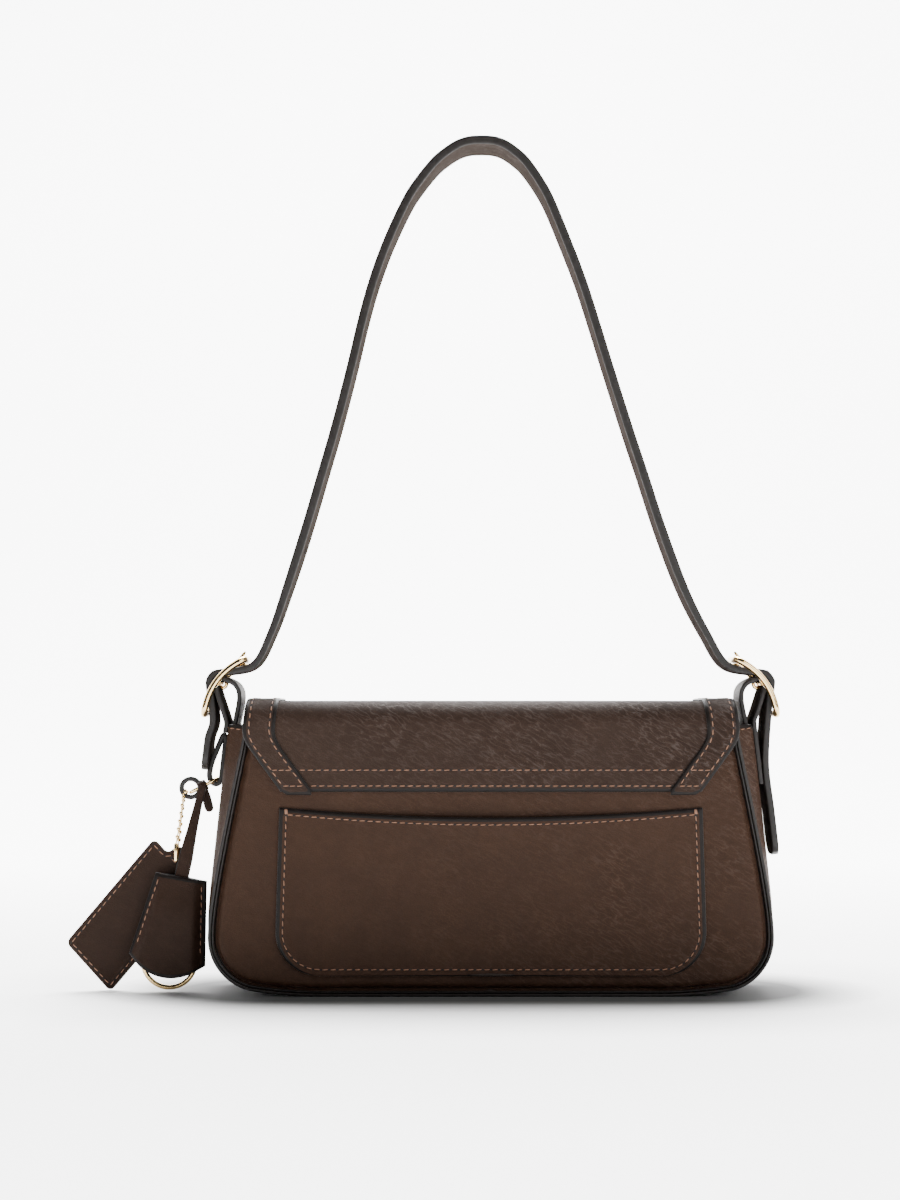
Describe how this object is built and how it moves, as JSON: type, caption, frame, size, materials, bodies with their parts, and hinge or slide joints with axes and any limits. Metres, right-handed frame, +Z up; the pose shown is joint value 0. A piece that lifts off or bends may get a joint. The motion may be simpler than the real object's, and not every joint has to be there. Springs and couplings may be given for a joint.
{
  "type": "shoulder bag",
  "caption": "Small flap-over shoulder bag in leather with a short arched strap, slip pocket on its back, and a side charm of bell, tag and key ring.",
  "frame": {"origin": "centre of the flat underside that the bag stands on", "axes": "+Z up, +Y to the bag's front where the flap closes, +X to the right when the back is seen, so the charm hangs on the -X side"},
  "size_m": [0.3513, 0.0665, 0.4178],
  "materials": {
    "leather": "pebbled dark brown leather, half matt",
    "suede": "matt suede",
    "cloth": "matt lining cloth",
    "board": "matt stiffening board",
    "gold": "polished gold-coloured plating"
  },
  "bodies": {
    "body": {"gusset": "leather", "back_panel": "leather", "front_panel": "leather", "lining": "cloth", "inner_pocket": "cloth", "base_board": "board", "mouth_facing_back": "leather", "mouth_facing_front": "leather", "back_pocket": "leather", "flap_back": "leather", "trim_back_left": "leather", "trim_back_right": "leather", "snap_socket": "gold", "tab_left": "leather", "tab_right": "leather", "charm_loop": "leather"},
    "flap_top": {"flap_top": "leather", "flap_lining_top": "suede", "trim_top_left": "leather", "trim_top_right": "leather"},
    "flap_front": {"flap_front": "leather", "flap_lining_front": "suede", "trim_front_left": "leather", "trim_front_right": "leather", "snap_stud": "gold"},
    "strap": {"shoulder_strap": "leather", "buckle_left": "gold", "buckle_right": "gold"},
    "prong_left": {"prong_left": "gold"},
    "prong_right": {"prong_right": "gold"},
    "charms": {"charm_link": "gold", "charm_lace": "leather"},
    "bell": {"bell_back": "leather", "bell_front": "leather"},
    "key_ring": {"key_ring": "gold"},
    "tag": {"charm_tag": "leather", "ball_chain": "gold", "chain_connector": "gold"}
  },
  "joints": [
    {"name": "flap_lift", "type": "hinge", "parent": "body", "child": "flap_top", "pos_m": [0, -0.02742, 0.14012], "axis": [1, 0, 0], "range_deg": [0, 16]},
    {"name": "flap_fold", "type": "hinge", "parent": "flap_top", "child": "flap_front", "pos_m": [0, 0.02742, 0.14012], "axis": [1, 0, 0], "range_deg": [0, 150]},
    {"name": "strap_swing", "type": "hinge", "parent": "body", "child": "strap", "pos_m": [0, 0, 0.1411], "axis": [1, 0, 0], "range_deg": [-40, 40], "deforming": ["tab_left", "tab_right"]},
    {"name": "prong_left_lift", "type": "hinge", "parent": "strap", "child": "prong_left", "pos_m": [-0.13224, 0, 0.15121], "axis": [0, -1, 0], "range_deg": [0, 8]},
    {"name": "prong_right_lift", "type": "hinge", "parent": "strap", "child": "prong_right", "pos_m": [0.13224, 0, 0.15121], "axis": [0, 1, 0], "range_deg": [0, 8]},
    {"name": "charm_hang", "type": "hinge", "parent": "body", "child": "charms", "pos_m": [-0.13448, 0, 0.10415], "axis": [0, 1, 0], "range_deg": [0, 30]},
    {"name": "tag_swing", "type": "hinge", "parent": "charms", "child": "tag", "pos_m": [-0.15094, -0.0012, 0.09678], "axis": [0, 1, 0], "range_deg": [0, 25]},
    {"name": "bell_slide", "type": "slide", "parent": "charms", "child": "bell", "axis": [0.1702, 0, 0.9854], "range_m": [0, 0.006]},
    {"name": "key_ring_swing", "type": "hinge", "parent": "charms", "child": "key_ring", "pos_m": [-0.15714, -0.0084, 0.0279], "axis": [0, 1, 0], "range_deg": [-4, 10]}
  ]
}
